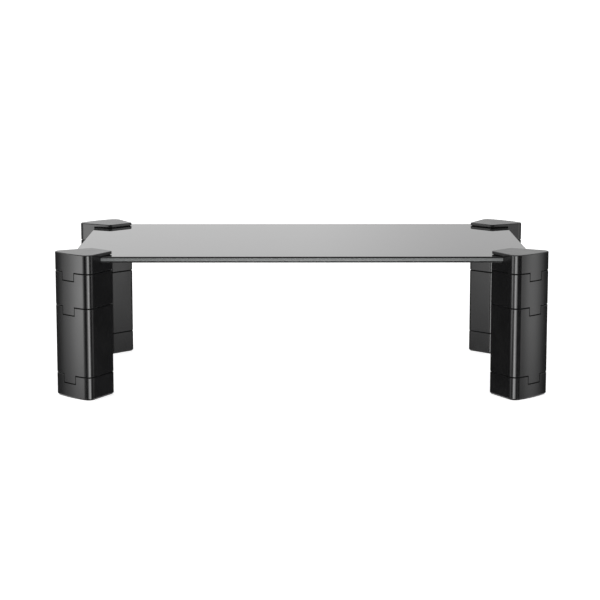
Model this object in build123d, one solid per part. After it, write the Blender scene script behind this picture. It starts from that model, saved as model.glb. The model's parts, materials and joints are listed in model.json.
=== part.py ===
from build123d import *
import os
from math import atan2, cos, degrees, sin, sqrt

# Monitor riser: a black glass shelf held at its corners in four stacked legs.
# Millimetres. +X runs along the shelf's width, +Y to its back, +Z up.
# The origin is on the desk, under the middle of the shelf.

# ---- driving dimensions -------------------------------------------------------------

# Shelf
GLASS_WIDTH = 480.0
GLASS_DEPTH = 285.0
GLASS_THICKNESS = 6.0
GLASS_CORNER_CUT = 25.0  # length cut off each edge at a corner
GLASS_ARRIS = 1.2  # bevel ground along every edge
FILM_THICKNESS = 0.3
FILM_MARGIN = 1.6  # the film stops this far inside the glass edge

# Plan of a leg, measured from the glass corner it holds: u runs diagonally outward, v across
LEG_OUTER_U = -0.5  # where the side faces meet the bulging outer face
LEG_OUTER_HALF_WIDTH = 29.6
LEG_BULGE = 3.6  # rise of the outer face above its chord
LEG_INNER_U = -43.7
LEG_INNER_HALF_WIDTH = 16.6
OUTER_CORNER_RADIUS = 7.5
INNER_CORNER_RADIUS = 4.0
SHARPEST_CORNER_RADIUS = 0.6  # for outlines so far inside the leg that its corners run out

# Heights of the seams between blocks, above the desk
BASE_TOP = 24.5
TALL_BLOCK_HEIGHT = 72.0
SHORT_BLOCK_HEIGHT = 36.0
CAP_HEIGHT = 19.5

# Moulded walls
WALL = 2.5
RIB = 1.6
JAW = 3.1  # the part of the cap above its slot
SEAM_BEVEL = 0.3
SEAM_GAP = 0.9  # the shadow line left open around each seam
SEAM_GAP_DEPTH = 1.2
TOP_EDGE_RADIUS = 1.0
BASE_EDGE_RADIUS = 0.8

# Plug and socket between blocks
SPIGOT_HEIGHT = 5.5
SPIGOT_WALL = 2.0
SPIGOT_LEAD = 0.5
FIT_GAP = 0.3
SOCKET_DEPTH = 6.0

# Tongue on the outer face, which drops into a notch in the block below
TONGUE_WIDTH = 18.0
TONGUE_DEPTH = 8.7
TONGUE_GAP = 0.9
TONGUE_ROOT = 3.0  # how far the tongue's own thickness runs up into its block

# Rubber
PAD_THICKNESS = 0.7
PAD_MARGIN = 1.5  # grip pads stop this far inside the leg's faces
SLOT_CLEARANCE = 0.5
FOOT_THICKNESS = 3.0
FOOT_PROUD = 1.0
FOOT_MARGIN = 1.2
FOOT_CLEARANCE = 0.1
FOOT_EDGE_BEVEL = 0.3

# ---- worked out from them -----------------------------------------------------------

TALL_TOP = BASE_TOP + TALL_BLOCK_HEIGHT
SHORT_TOP = TALL_TOP + SHORT_BLOCK_HEIGHT
CAP_TOP = SHORT_TOP + CAP_HEIGHT

SLOT_CEILING = CAP_TOP - JAW
GLASS_TOP = SLOT_CEILING - PAD_THICKNESS
GLASS_BOTTOM = GLASS_TOP - GLASS_THICKNESS
FILM_BOTTOM = GLASS_BOTTOM - FILM_THICKNESS
SLOT_FLOOR = FILM_BOTTOM - PAD_THICKNESS

FAR = 200.0  # reach of cutting solids, well past any leg

CORNERS = {
    "front_left": (-1, -1),
    "front_right": (1, -1),
    "back_left": (-1, 1),
    "back_right": (1, 1),
}


# ---- leg outline and the solids made from it ----------------------------------------


def leg_outline(inset=0.0):
    """The leg's plan, with every face moved inward by inset."""
    taper = atan2(LEG_OUTER_HALF_WIDTH - LEG_INNER_HALF_WIDTH, LEG_OUTER_U - LEG_INNER_U)
    side_distance = LEG_OUTER_HALF_WIDTH * cos(taper) - LEG_OUTER_U * sin(taper) - inset

    arc_radius = (LEG_OUTER_HALF_WIDTH**2 + LEG_BULGE**2) / (2 * LEG_BULGE)
    arc_centre = LEG_OUTER_U + LEG_BULGE - arc_radius
    arc_radius -= inset

    # Outer corner: the side line meets the arc
    offset = side_distance + sin(taper) * arc_centre
    along = sqrt(arc_radius**2 - offset**2)
    outer_u = arc_centre - sin(taper) * offset + cos(taper) * along
    outer_v = cos(taper) * offset + sin(taper) * along

    # Inner corner: the side line meets the inner face
    inner_u = LEG_INNER_U + inset
    inner_v = (side_distance + sin(taper) * inner_u) / cos(taper)

    sides = Polyline((outer_u, outer_v), (inner_u, inner_v), (inner_u, -inner_v), (outer_u, -outer_v))
    bulge = ThreePointArc((outer_u, -outer_v), (arc_centre + arc_radius, 0), (outer_u, outer_v))
    face = make_face(Curve() + [sides, bulge])

    corners = face.vertices().group_by(Axis.X)
    face = fillet(corners[-1], max(OUTER_CORNER_RADIUS - inset, SHARPEST_CORNER_RADIUS))
    corners = face.vertices().sort_by(Axis.X)[:2]
    return fillet(corners, max(INNER_CORNER_RADIUS - inset, SHARPEST_CORNER_RADIUS))


def prism(inset, low, high):
    """The leg's plan moved inward by inset, from height low to height high."""
    return Pos(0, 0, low) * extrude(leg_outline(inset), amount=high - low)


def slab(u_low, u_high, width, low, high):
    """A box centred on v = 0."""
    size = (u_high - u_low, width, high - low)
    middle = Pos((u_low + u_high) / 2, 0, (low + high) / 2)
    return middle * Box(*size)


def outer_wall(inner_inset, width, low, high, outer_inset=0.0):
    """A patch of the leg's outer face, width across, down to inner_inset below the surface."""
    ring = prism(outer_inset, low, high) - prism(inner_inset, low, high)
    return ring & slab((LEG_OUTER_U + LEG_INNER_U) / 2, FAR, width, low, high)


def bevelled(solid, end):
    """The solid with the edges at one end bevelled: 0 is its lowest end and -1 its highest."""
    return chamfer(solid.edges().group_by(Axis.Z)[end], SEAM_BEVEL)


def seam_step(seam):
    """The set-back top of a block, which leaves the shadow line open below the next block."""
    return prism(SEAM_GAP_DEPTH, seam - SEAM_GAP - SEAM_GAP_DEPTH, seam)


def ribs(low, high):
    """A cross of two ribs that stiffens a hollow block."""
    middle_u = (LEG_OUTER_U + LEG_INNER_U) / 2
    lengthways = slab(LEG_INNER_U, LEG_OUTER_U + LEG_BULGE, RIB, low, high)
    crossways = slab(middle_u - RIB / 2, middle_u + RIB / 2, 2 * LEG_OUTER_HALF_WIDTH, low, high)
    return (lengthways + crossways) & prism(WALL / 2, low, high)


def spigot(seam):
    """The hollow rim on top of a block, which enters the socket of the block above."""
    outer_inset = WALL + FIT_GAP
    rim = prism(outer_inset, seam - WALL, seam + SPIGOT_HEIGHT)
    rim = chamfer(rim.edges().group_by(Axis.Z)[-1], SPIGOT_LEAD)
    return rim - prism(outer_inset + SPIGOT_WALL, seam, seam + SPIGOT_HEIGHT)


def notch_pocket(seam):
    """The thick place behind a notch, which closes it off from the hollow inside."""
    floor = seam - TONGUE_DEPTH - TONGUE_GAP - WALL
    width = TONGUE_WIDTH + 2 * (TONGUE_GAP + WALL)
    return outer_wall(WALL + FIT_GAP + WALL, width, floor, seam - WALL / 2, WALL / 2)


def notch(seam):
    """What is cut from a block's outer face to take the tongue above it."""
    width = TONGUE_WIDTH + 2 * TONGUE_GAP
    floor = seam - TONGUE_DEPTH - TONGUE_GAP
    beyond = slab(LEG_OUTER_U - WALL, FAR, width, floor, seam + WALL)
    return beyond - prism(WALL + FIT_GAP, floor, seam + WALL)


def tongue(seam):
    """The rectangular tab that hangs from a block's outer wall."""
    tab = outer_wall(WALL, TONGUE_WIDTH, seam - TONGUE_DEPTH, seam + TONGUE_ROOT)
    lower_edges = tab.edges().group_by(Axis.Z)[0]
    return chamfer(lower_edges.sort_by(Axis.X)[-1], SEAM_BEVEL)


# ---- moulded blocks -----------------------------------------------------------------


def spacer_block(low, high):
    """A hollow spacer: socket and tongue below, spigot and notch above."""
    body = bevelled(bevelled(prism(0, low, high - SEAM_GAP), 0), -1)
    body += seam_step(high)
    body -= prism(WALL, low, high - WALL)
    body += ribs(low + SOCKET_DEPTH, high - WALL / 2)
    body += notch_pocket(high)
    body += spigot(high)
    body -= notch(high)
    return body + tongue(low)


def base_block():
    """The lowest block: closed below by the foot pad, spigot and notch above."""
    seat = FOOT_THICKNESS
    body = prism(0, FOOT_PROUD, BASE_TOP - SEAM_GAP)
    body = fillet(body.edges().group_by(Axis.Z)[0], BASE_EDGE_RADIUS)
    body = bevelled(body, -1) + seam_step(BASE_TOP)
    body -= prism(WALL, seat, BASE_TOP - WALL)
    body -= prism(FOOT_MARGIN, FOOT_PROUD, seat)
    body += ribs(seat, BASE_TOP - WALL / 2)
    body += notch_pocket(BASE_TOP)
    body += spigot(BASE_TOP)
    return body - notch(BASE_TOP)


def slot_outline(clearance):
    """The glass corner's plan, seen from a leg, enlarged by clearance."""
    cut_u = -GLASS_CORNER_CUT / sqrt(2) + clearance
    widen = clearance * sqrt(2)
    near_v = widen - cut_u
    far_v = widen + FAR
    points = [(cut_u, near_v), (-FAR, far_v), (-FAR, -far_v), (cut_u, -near_v)]
    return make_face(Polyline(*points, close=True))


def cap_block():
    """The top block: a slot for the glass below a thin jaw, socket and tongue below that."""
    body = bevelled(prism(0, SHORT_TOP, CAP_TOP), 0)
    body = fillet(body.edges().group_by(Axis.Z)[-1], TOP_EDGE_RADIUS)
    body -= prism(WALL, SHORT_TOP, SHORT_TOP + SOCKET_DEPTH)

    # Hollow between the end of the slot and the outer wall, cored out from below
    core_start = -GLASS_CORNER_CUT / sqrt(2) + SLOT_CLEARANCE + WALL
    core_top = CAP_TOP - WALL
    core = prism(WALL, SHORT_TOP, core_top) & slab(core_start, FAR, FAR, SHORT_TOP, core_top)
    body -= core
    middle_rib = slab(core_start - WALL, FAR, RIB, SHORT_TOP + SOCKET_DEPTH, core_top)
    body += middle_rib & prism(WALL / 2, SHORT_TOP, CAP_TOP - WALL / 2)

    slot = extrude(slot_outline(SLOT_CLEARANCE), amount=SLOT_CEILING - SLOT_FLOOR)
    body -= Pos(0, 0, SLOT_FLOOR) * slot
    return body + tongue(SHORT_TOP)


# ---- rubber -------------------------------------------------------------------------


def grip_pad(low):
    """A thin rubber sheet that lines one side of the slot."""
    wedge = Pos(0, 0, low) * extrude(slot_outline(-SLOT_CLEARANCE), amount=PAD_THICKNESS)
    return wedge & prism(PAD_MARGIN, low, low + PAD_THICKNESS)


def foot_pad():
    """The sole, plugged into the underside of the base and standing proud of it."""
    sole = prism(FOOT_MARGIN + FOOT_CLEARANCE, 0, FOOT_THICKNESS)
    return chamfer(sole.edges().group_by(Axis.Z)[0], FOOT_EDGE_BEVEL)


# ---- shelf --------------------------------------------------------------------------


def cut_corner_sheet(margin, low, thickness):
    """The shelf's plan with its corners cut off, moved inward by margin."""
    half_width = GLASS_WIDTH / 2 - margin
    half_depth = GLASS_DEPTH / 2 - margin
    cut = GLASS_CORNER_CUT - margin * (2 - sqrt(2))
    sheet = Box(2 * half_width, 2 * half_depth, thickness)
    sheet = chamfer(sheet.edges().filter_by(Axis.Z), cut)
    return Pos(0, 0, low + thickness / 2) * sheet


def shelf_glass():
    """Tempered glass with a ground bevel along its top and bottom edges."""
    sheet = cut_corner_sheet(0, GLASS_BOTTOM, GLASS_THICKNESS)
    rims = sheet.edges().group_by(Axis.Z)
    return chamfer(rims[0] + rims[-1], GLASS_ARRIS)


def shelf_backing():
    """The black film bonded under the glass."""
    return cut_corner_sheet(FILM_MARGIN, FILM_BOTTOM, FILM_THICKNESS)


# ---- assembly -----------------------------------------------------------------------


def at_corner(shape, x_sign, y_sign):
    """Turns a leg piece to face out of one corner of the shelf and puts it there."""
    place = Pos(x_sign * GLASS_WIDTH / 2, y_sign * GLASS_DEPTH / 2, 0)
    turn = degrees(atan2(y_sign, x_sign))
    return place * Rot(0, 0, turn) * shape


def nodes():
    """Every piece by its node name."""
    leg_pieces = {
        "cap": cap_block(),
        "upper_grip_pad": grip_pad(GLASS_TOP),
        "lower_grip_pad": grip_pad(SLOT_FLOOR),
        "short_block": spacer_block(TALL_TOP, SHORT_TOP),
        "tall_block": spacer_block(BASE_TOP, TALL_TOP),
        "base": base_block(),
        "foot_pad": foot_pad(),
    }
    made = {"shelf_glass": shelf_glass(), "shelf_backing": shelf_backing()}
    for corner, (x_sign, y_sign) in CORNERS.items():
        for piece, shape in leg_pieces.items():
            made[f"{piece}_{corner}"] = at_corner(shape, x_sign, y_sign)
    return made


os.makedirs("parts", exist_ok=True)
for node_name, node_shape in nodes().items():
    export_step(node_shape, os.path.join("parts", f"{node_name}.step"))
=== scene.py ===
"""Looks of the glass monitor riser: its materials, its glass sheet, the floor, the light and the camera."""

import json
import math

import bmesh
import bpy
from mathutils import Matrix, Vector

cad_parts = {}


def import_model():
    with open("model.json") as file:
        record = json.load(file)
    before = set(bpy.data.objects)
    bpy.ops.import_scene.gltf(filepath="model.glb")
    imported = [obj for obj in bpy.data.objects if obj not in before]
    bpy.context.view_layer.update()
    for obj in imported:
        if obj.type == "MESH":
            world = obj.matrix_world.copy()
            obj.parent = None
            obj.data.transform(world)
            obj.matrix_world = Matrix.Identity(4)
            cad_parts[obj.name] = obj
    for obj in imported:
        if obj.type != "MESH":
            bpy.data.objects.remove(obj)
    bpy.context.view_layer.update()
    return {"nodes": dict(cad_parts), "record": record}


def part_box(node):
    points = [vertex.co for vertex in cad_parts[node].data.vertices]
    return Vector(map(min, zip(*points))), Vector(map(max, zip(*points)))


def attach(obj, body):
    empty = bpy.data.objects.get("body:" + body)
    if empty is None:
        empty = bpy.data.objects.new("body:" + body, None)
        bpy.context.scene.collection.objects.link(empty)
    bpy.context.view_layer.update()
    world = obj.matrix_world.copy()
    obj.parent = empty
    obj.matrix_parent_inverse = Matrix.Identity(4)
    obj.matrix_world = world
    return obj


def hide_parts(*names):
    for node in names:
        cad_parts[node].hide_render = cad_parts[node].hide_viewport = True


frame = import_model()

MM = 0.001

# ---- node tree helpers --------------------------------------------------------------


def add_node(tree, kind, inputs=None, **settings):
    """A new node. Each input, by name or by number, is a constant or an output socket to link from."""
    node = tree.nodes.new(kind)
    for name, value in settings.items():
        setattr(node, name, value)
    for name, value in (inputs or {}).items():
        if isinstance(value, bpy.types.NodeSocket):
            tree.links.new(value, node.inputs[name])
        else:
            node.inputs[name].default_value = value
    return node


def new_material(name, **constants):
    """A material whose Principled shader has these constant inputs, as (material, tree, shader)."""
    material = bpy.data.materials.new(name)
    material.use_nodes = True
    tree = material.node_tree
    shader = next(n for n in tree.nodes if n.type == "BSDF_PRINCIPLED")
    for socket, value in constants.items():
        shader.inputs[socket.replace("_", " ")].default_value = value
    return material, tree, shader


def place(tree):
    """Position in the riser's own frame, in metres."""
    return add_node(tree, "ShaderNodeTexCoord").outputs["Object"]


def stretched(tree, position, scale):
    """position with each axis scaled. A scale under 1 stretches a pattern along that axis."""
    return add_node(tree, "ShaderNodeMapping", {"Vector": position, "Scale": scale}).outputs["Vector"]


def noise(tree, position, size, detail=2.0):
    """Noise whose features are about size metres across, from 0 to 1."""
    node = add_node(tree, "ShaderNodeTexNoise", {"Vector": position, "Scale": 1 / size, "Detail": detail})
    return node.outputs["Fac"]


def ramp(tree, value, low, high, start, end, smooth=False):
    """value from low to high becomes start to end, and stays there outside."""
    inputs = {"Value": value, "From Min": low, "From Max": high, "To Min": start, "To Max": end}
    curve = "SMOOTHSTEP" if smooth else "LINEAR"
    return add_node(tree, "ShaderNodeMapRange", inputs, interpolation_type=curve).outputs["Result"]


def maths(tree, operation, first, second):
    """The result of an operation on two numbers."""
    return add_node(tree, "ShaderNodeMath", {0: first, 1: second}, operation=operation).outputs[0]


def mix(tree, share, first, second):
    """first where share is 0, and second where it is 1. Both are numbers."""
    return add_node(tree, "ShaderNodeMix", {0: share, 2: first, 3: second}).outputs[0]


def mix_colors(tree, share, first, second):
    """first where share is 0, and second where it is 1. Both are colours."""
    return add_node(tree, "ShaderNodeMix", {0: share, 6: first, 7: second}, data_type="RGBA").outputs[2]


def bump(tree, height, depth, normal=None):
    """A bump whose full height is depth metres."""
    inputs = {"Height": height, "Distance": depth, "Strength": 1.0}
    if normal is not None:
        inputs["Normal"] = normal
    return add_node(tree, "ShaderNodeBump", inputs).outputs["Normal"]


def levels_along(tree, value, low, high, stops):
    """Straight runs through stops, which are (value, level) from low to high. Levels may pass 1."""
    peak = max(level for _, level in stops)
    curve = add_node(tree, "ShaderNodeValToRGB", {"Fac": ramp(tree, value, low, high, 0.0, 1.0)})
    elements = curve.color_ramp.elements
    while len(elements) < len(stops):
        elements.new(0.5)
    for element, (at, level) in zip(elements, stops):
        element.position = (at - low) / (high - low)
        element.color = (level / peak, level / peak, level / peak, 1)
    return maths(tree, "MULTIPLY", curve.outputs["Color"], peak)


# ---- materials ----------------------------------------------------------------------

REFRACTION = 1.52  # of glass, and of the plastic
ABS_BLACK = (0.0032, 0.0032, 0.0035, 1)
ABS_RUBBED = (0.008, 0.008, 0.0085, 1)
GLASS_BLACK = (0.003, 0.0034, 0.0034, 1)
ARRIS_BLACK = (0.004, 0.004, 0.004, 1)
GROUND_GREY = (0.1, 0.105, 0.105, 1)
FILM_BLACK = (0.006, 0.006, 0.006, 1)


def edge_mask(tree, width):
    """1 on edges, fading to 0 on flat faces about width metres away from them."""
    rounded = add_node(tree, "ShaderNodeBevel", {"Radius": width}, samples=4).outputs["Normal"]
    normal = add_node(tree, "ShaderNodeNewGeometry").outputs["Normal"]
    inputs = {0: rounded, 1: normal}
    likeness = add_node(tree, "ShaderNodeVectorMath", inputs, operation="DOT_PRODUCT").outputs["Value"]
    return ramp(tree, likeness, 0.995, 0.9, 0.0, 1.0)


def crevice_mask(tree, reach):
    """1 inside gaps narrower than reach metres, fading to 0 on open faces."""
    inputs = {"Distance": reach}
    openness = add_node(tree, "ShaderNodeAmbientOcclusion", inputs, samples=8).outputs["AO"]
    return ramp(tree, openness, 0.9, 0.6, 0.0, 1.0)


def top_mask(tree):
    """1 on faces that look straight up, and 0 on any that slope much."""
    normal = add_node(tree, "ShaderNodeNewGeometry").outputs["True Normal"]
    height = add_node(tree, "ShaderNodeSeparateXYZ", {"Vector": normal}).outputs["Z"]
    return ramp(tree, height, 0.8, 1.0, 0.0, 1.0)


def leg_plastic():
    """Black ABS with a fine grain, rubbed a little along its edges, duller on top, and matt in its seams,
    where its reflection is cut to painted shade.
    """
    material, tree, shader = new_material("black_abs", IOR=REFRACTION)
    where = place(tree)
    flow = noise(tree, where, 18 * MM)
    grain = noise(tree, where, 0.4 * MM)
    dust = ramp(tree, noise(tree, where, 0.9 * MM, detail=4.0), 0.66, 0.74, 0.0, 1.0)
    wear = ramp(tree, noise(tree, where, 3 * MM), 0.35, 0.65, 0.2, 1.0)
    rubbed = maths(tree, "MULTIPLY", edge_mask(tree, 0.5 * MM), wear)
    painted_seam_shade_and_matt = crevice_mask(tree, 2 * MM)

    tree.links.new(mix_colors(tree, rubbed, ABS_BLACK, ABS_RUBBED), shader.inputs["Base Color"])
    # Painted shade: the specular level is cut wherever ambient occlusion finds a seam between blocks.
    tree.links.new(ramp(tree, painted_seam_shade_and_matt, 0.0, 1.0, 0.5, 0.05), shader.inputs["Specular IOR Level"])

    roughness = ramp(tree, flow, 0.3, 0.7, 0.17, 0.21)
    for mask, added in ((rubbed, 0.06), (dust, 0.05), (top_mask(tree), 0.05), (painted_seam_shade_and_matt, 0.5)):
        roughness = maths(tree, "ADD", roughness, maths(tree, "MULTIPLY", mask, added))
    tree.links.new(roughness, shader.inputs["Roughness"])

    sinks = bump(tree, flow, 0.01 * MM)
    tree.links.new(bump(tree, grain, 0.001 * MM, sinks), shader.inputs["Normal"])
    return material


def polished_glass():
    """The black-backed top of tempered glass: a mirror with a faint roller wave and fainter smears."""
    material, tree, shader = new_material("polished_glass", Base_Color=GLASS_BLACK, IOR=REFRACTION)
    where = place(tree)
    smears = noise(tree, where, 25 * MM, detail=3.0)
    tree.links.new(ramp(tree, smears, 0.35, 0.75, 0.012, 0.04), shader.inputs["Roughness"])
    wave = noise(tree, stretched(tree, where, (1.0, 0.15, 1.0)), 45 * MM, detail=0.0)
    tree.links.new(bump(tree, wave, 0.004 * MM), shader.inputs["Normal"])
    return material


def ground_glass(name, color, roughness, scratch_depth):
    """A glass edge cut by a grinding wheel, which leaves fine scratches along it."""
    material, tree, shader = new_material(name, Base_Color=color, IOR=REFRACTION)
    scratches = noise(tree, stretched(tree, place(tree), (0.06, 0.06, 1.0)), 0.25 * MM, detail=3.0)
    spread = 0.05
    varied = ramp(tree, scratches, 0.3, 0.7, roughness - spread, roughness + spread)
    tree.links.new(varied, shader.inputs["Roughness"])
    tree.links.new(bump(tree, scratches, scratch_depth), shader.inputs["Normal"])
    return material


def backing_film():
    """Matt black film, with the fine texture of its adhesive showing through."""
    material, tree, shader = new_material("backing_film", Base_Color=FILM_BLACK)
    ripple = noise(tree, place(tree), 6 * MM, detail=3.0)
    tree.links.new(ramp(tree, ripple, 0.3, 0.7, 0.42, 0.52), shader.inputs["Roughness"])
    tree.links.new(bump(tree, ripple, 0.02 * MM), shader.inputs["Normal"])
    return material


def rubber(name, level):
    """Matt black rubber with a fine pebbled skin. Its colour varies round level."""
    material, tree, shader = new_material(name, Specular_IOR_Level=0.3)
    where = place(tree)
    tone = ramp(tree, noise(tree, where, 5 * MM), 0.3, 0.7, 0.85 * level, 1.15 * level)
    tree.links.new(tone, shader.inputs["Base Color"])
    inputs = {"Vector": where, "Scale": 1 / (0.5 * MM)}
    pebbles = add_node(tree, "ShaderNodeTexVoronoi", inputs).outputs["Distance"]
    tree.links.new(ramp(tree, pebbles, 0.0, 0.6, 0.62, 0.75), shader.inputs["Roughness"])
    tree.links.new(bump(tree, pebbles, 0.03 * MM), shader.inputs["Normal"])
    return material


# ---- shelf glass --------------------------------------------------------------------

GLASS_CORNER_CUT = 25 * MM
GLASS_ARRIS = 1.2 * MM
ARRIS_ROUNDING = 0.25 * MM
POLISHED, ARRIS, GROUND = range(3)  # the sheet's material slots


def glass_outline(margin, half_width, half_depth):
    """Corners of the sheet's plan, moved inward by margin, in order round it."""
    cut = GLASS_CORNER_CUT - margin * (2 - math.sqrt(2))
    x, y = half_width - margin, half_depth - margin
    quarter = [(x, y - cut), (x - cut, y)]
    points = []
    for turn in range(4):
        x_sign = 1 if turn in (0, 3) else -1
        y_sign = 1 if turn in (0, 1) else -1
        corner = quarter if turn % 2 == 0 else quarter[::-1]
        points += [(x_sign * px, y_sign * py) for px, py in corner]
    return points


def edge_rings(low, high):
    """(margin, height, slot) of the rings down the glass edge. Each slot is of the band below its ring."""
    lean = ARRIS_ROUNDING / math.sqrt(2)
    dip = lean / 4
    upper = [
        (GLASS_ARRIS + ARRIS_ROUNDING, high, ARRIS),
        (GLASS_ARRIS, high - dip, ARRIS),
        (GLASS_ARRIS - lean, high - lean, ARRIS),
        (lean, high - GLASS_ARRIS + lean, ARRIS),
        (dip, high - GLASS_ARRIS, ARRIS),
        (0.0, high - GLASS_ARRIS - ARRIS_ROUNDING, GROUND),
    ]
    lower = [(margin, low + high - height, ARRIS) for margin, height, _ in reversed(upper)]
    return upper + lower


def glass_mesh(low, high, half_width, half_depth):
    """A sheet with rounded bevels and a ground band round its edge, sharp only at the corners of its plan."""
    made = bmesh.new()
    profile = edge_rings(low, high)
    rings = []
    for margin, height, _ in profile:
        outline = glass_outline(margin, half_width, half_depth)
        rings.append([made.verts.new((x, y, height)) for x, y in outline])
    for upper, lower, (_, _, slot) in zip(rings, rings[1:], profile):
        for index in range(len(upper)):
            after = (index + 1) % len(upper)
            face = made.faces.new((upper[index], lower[index], lower[after], upper[after]))
            face.material_index = slot
            face.smooth = True
    for ring in (rings[0], rings[-1][::-1]):
        made.faces.new(ring).material_index = POLISHED
    for corner in range(len(rings[0])):
        for upper, lower in zip(rings, rings[1:]):
            made.edges.get((upper[corner], lower[corner])).smooth = False
    mesh = bpy.data.meshes.new("glass_sheet")
    made.to_mesh(mesh)
    made.free()
    return mesh


def glass_sheet():
    """The shelf's glass, in place of its CAD node."""
    (_, _, low), (half_width, half_depth, high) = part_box("shelf_glass")
    mesh = glass_mesh(low, high, half_width, half_depth)
    mesh.materials.append(polished_glass())
    mesh.materials.append(ground_glass("glass_arris", ARRIS_BLACK, 0.18, 0.001 * MM))
    mesh.materials.append(ground_glass("ground_glass_edge", GROUND_GREY, 0.42, 0.004 * MM))
    sheet = bpy.data.objects.new("glass_sheet", mesh)
    bpy.context.scene.collection.objects.link(sheet)
    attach(sheet, "shelf")
    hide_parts("shelf_glass")


# ---- floor --------------------------------------------------------------------------

FLOOR_REACH = 400
FLOOR_WHITE = (0.8, 0.8, 0.8, 1)
FLOOR_GLOW = 0.82


def staged_sheet(name, corners, material):
    """A flat sheet that is part of the studio, not of the riser."""
    mesh = bpy.data.meshes.new(name)
    mesh.from_pydata(corners, [], [(0, 1, 2, 3)])
    mesh.materials.append(material)
    sheet = bpy.data.objects.new(name, mesh)
    bpy.context.scene.collection.objects.link(sheet)
    return sheet


def floor():
    """A wide pale floor. It glows, so that shadows on it stay faint, and is left out of reflections."""
    material, _, shader = new_material("floor_paper", Base_Color=FLOOR_WHITE, Roughness=0.9)
    shader.inputs["Emission Color"].default_value = (1, 1, 1, 1)
    shader.inputs["Emission Strength"].default_value = FLOOR_GLOW
    corners = [(FLOOR_REACH * x, FLOOR_REACH * y, 0) for x, y in ((-1, -1), (1, -1), (1, 1), (-1, 1))]
    sheet = staged_sheet("floor", corners, material)
    sheet.visible_glossy = False
    sheet.visible_shadow = False


# ---- glowing cards ------------------------------------------------------------------

SIDE_CARD_X = 1.5
SIDE_CARD_HEIGHTS = (-0.37, 0.25)
SIDE_CARD_FOOT = 0.24
LEFT_LEVELS = [(-1.7, 0.0), (-0.95, 1.7), (-0.45, 4.4), (-0.05, 1.5), (0.2, 0.7), (0.3, 0.25), (0.5, 0.0)]
RIGHT_LEVELS = [
    (-0.66, 0.0), (-0.57, 2.1), (-0.46, 0.6), (-0.25, 1.85), (-0.12, 1.85),
    (0.02, 1.5), (0.18, 0.75), (0.37, 0.1), (0.5, 0.0),
]  # (y, level), like those on the left

FRONT_CARD_Y = -0.63
FRONT_CARD_HEIGHTS = (-0.2, 0.15)
FRONT_LEVELS = [(-0.3, 0.0), (-0.15, 3.0), (0.0, 8.5), (0.15, 4.0), (0.3, 0.0)]  # (x, level)


def card(name, start, end, heights, stops, foot=0.0):
    """An upright glowing card over the line from start to end, given as (x, y).

    It adds to what is behind it. Along the line its level follows stops, which are (metres from start, level).
    Over its lowest part, foot metres high, it fades in.
    """
    low, high = heights
    length = math.dist(start, end)
    material = bpy.data.materials.new(name)
    material.use_nodes = True
    tree = material.node_tree
    tree.nodes.clear()
    where = add_node(tree, "ShaderNodeUVMap", uv_map="card").outputs["UV"]
    split = add_node(tree, "ShaderNodeSeparateXYZ", {"Vector": where})
    strength = levels_along(tree, split.outputs["X"], 0, length, stops)
    if foot:
        strength = maths(tree, "MULTIPLY", strength, ramp(tree, split.outputs["Y"], 0, foot, 0.0, 1.0))
    glow = add_node(tree, "ShaderNodeEmission", {"Strength": strength}).outputs["Emission"]
    clear = add_node(tree, "ShaderNodeBsdfTransparent").outputs["BSDF"]
    both = add_node(tree, "ShaderNodeAddShader", {0: glow, 1: clear}).outputs["Shader"]
    add_node(tree, "ShaderNodeOutputMaterial", {"Surface": both})

    sheet = staged_sheet(name, [(*start, low), (*end, low), (*end, high), (*start, high)], material)
    layer = sheet.data.uv_layers.new(name="card")
    for loop, uv in zip(layer.data, ((0, 0), (length, 0), (length, high - low), (0, high - low))):
        loop.uv = uv
    sheet.visible_camera = False
    sheet.visible_shadow = False
    sheet.visible_diffuse = False


def from_first(levels):
    """(place, level) with each place measured from the first one."""
    first = levels[0][0]
    return [(at - first, level) for at, level in levels]


def cards():
    """Tall soft lights to the left and right, and a smaller one low in front between the legs."""
    sides = (("left_card", -SIDE_CARD_X, LEFT_LEVELS), ("right_card", SIDE_CARD_X, RIGHT_LEVELS))
    for name, x, levels in sides:
        start, end = (x, levels[0][0]), (x, levels[-1][0])
        card(name, start, end, SIDE_CARD_HEIGHTS, from_first(levels), foot=SIDE_CARD_FOOT)
    start, end = (FRONT_LEVELS[0][0], FRONT_CARD_Y), (FRONT_LEVELS[-1][0], FRONT_CARD_Y)
    card("front_card", start, end, FRONT_CARD_HEIGHTS, from_first(FRONT_LEVELS))


# ---- world --------------------------------------------------------------------------

# (how far sideways, level) of the lights under the horizon
RING_LEVELS = [(0.0, 0.1), (0.35, 0.2), (0.62, 4.5), (0.78, 0.4), (0.9, 0.3), (0.97, 2.6), (1.0, 1.4)]
LOWER_LEVEL = 0.03


def upper_room(tree, x, y, z, sideways):
    """The level above the horizon, towards the direction x, y, z."""
    behind = ramp(tree, x, 0.0, 0.1, 1.0, 0.79, smooth=True)
    front = ramp(tree, z, 0.45, 0.65, 0.75, 0.2, smooth=True)
    walls = mix(tree, ramp(tree, y, -0.1, 0.35, 0.0, 1.0, smooth=True), front, behind)

    overhead = ramp(tree, x, -0.16, 0.16, 0.75, 0.25, smooth=True)
    room = mix(tree, ramp(tree, z, 0.6, 0.92, 0.0, 1.0, smooth=True), walls, overhead)

    # A low strip straight to each side
    strip = ramp(tree, sideways, 0.96, 0.985, 0.0, 2.6)
    strip = maths(tree, "MULTIPLY", strip, ramp(tree, z, 0.15, 0.2, 1.0, 0.0, smooth=True))
    return maths(tree, "ADD", room, strip)


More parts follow.
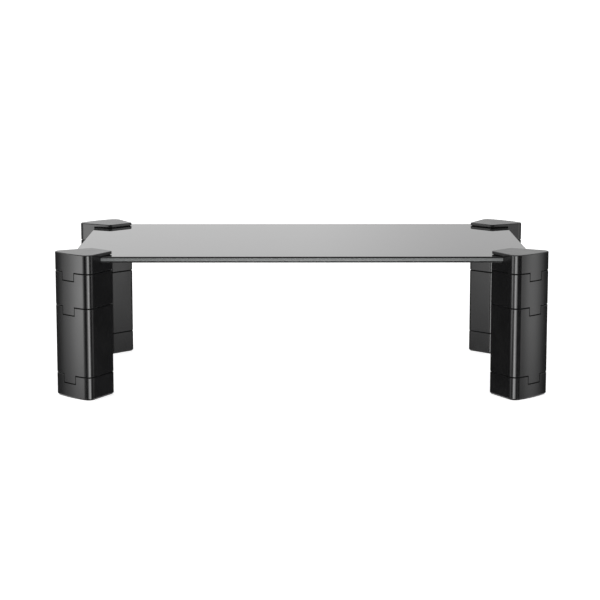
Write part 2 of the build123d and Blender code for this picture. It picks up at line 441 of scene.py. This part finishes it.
def lower_room(tree, z, sideways):
    """The level below the horizon: dark, but for a ring of soft lights in line with the legs' faces."""
    ring = levels_along(tree, sideways, 0, 1, RING_LEVELS)
    ring = maths(tree, "MULTIPLY", ring, ramp(tree, z, -0.34, -0.25, 1.0, 0.0, smooth=True))
    ring = maths(tree, "MULTIPLY", ring, ramp(tree, z, -0.8, -0.6, 0.0, 1.0, smooth=True))
    return maths(tree, "ADD", ring, LOWER_LEVEL)


def world():
    """A pale room. The floor hides its lower half, which is seen only in reflections."""
    made = bpy.data.worlds.new("studio")
    bpy.context.scene.world = made
    made.use_nodes = True
    tree = made.node_tree
    direction = add_node(tree, "ShaderNodeTexCoord").outputs["Generated"]
    split = add_node(tree, "ShaderNodeSeparateXYZ", {"Vector": direction})
    x, y, z = (split.outputs[axis] for axis in "XYZ")
    sideways = add_node(tree, "ShaderNodeMath", {0: x}, operation="ABSOLUTE").outputs[0]

    upper = upper_room(tree, x, y, z, sideways)
    lower = lower_room(tree, z, sideways)
    level = mix(tree, ramp(tree, z, 0.03, 0.115, 0.0, 1.0), lower, upper)
    background = next(n for n in tree.nodes if n.type == "BACKGROUND")
    tree.links.new(level, background.inputs["Color"])


# ---- camera -------------------------------------------------------------------------

SENSOR_WIDTH = 36
FOCAL_LENGTH = 116.02
CAMERA_AT = (-0.0069, -2.1224, 0.4213)
LOOK_DOWN = 9.132  # degrees
LOOK_RIGHT = 0.141


def camera():
    """A long lens in front of the riser and a little above it."""
    data = bpy.data.cameras.new("camera")
    data.sensor_width = SENSOR_WIDTH
    data.lens = FOCAL_LENGTH
    data.clip_end = 1000
    made = bpy.data.objects.new("camera", data)
    bpy.context.scene.collection.objects.link(made)
    made.location = CAMERA_AT
    made.rotation_euler = (math.radians(90 - LOOK_DOWN), 0, math.radians(-LOOK_RIGHT))
    bpy.context.scene.camera = made


# ---- build --------------------------------------------------------------------------

by_slot = {
    "leg_plastic": leg_plastic(),
    "shelf_film": backing_film(),
    "grip_rubber": rubber("grip_rubber", 0.012),
    "foot_rubber": rubber("foot_rubber", 0.008),
}
glass_sheet()
for part in frame["record"]["subparts"]:
    if part["material_slot"] in by_slot:
        node = frame["nodes"][part["node"]]
        node.data.materials.clear()
        node.data.materials.append(by_slot[part["material_slot"]])

floor()
world()
cards()
camera()
bpy.context.scene.view_settings.view_transform = "Standard"
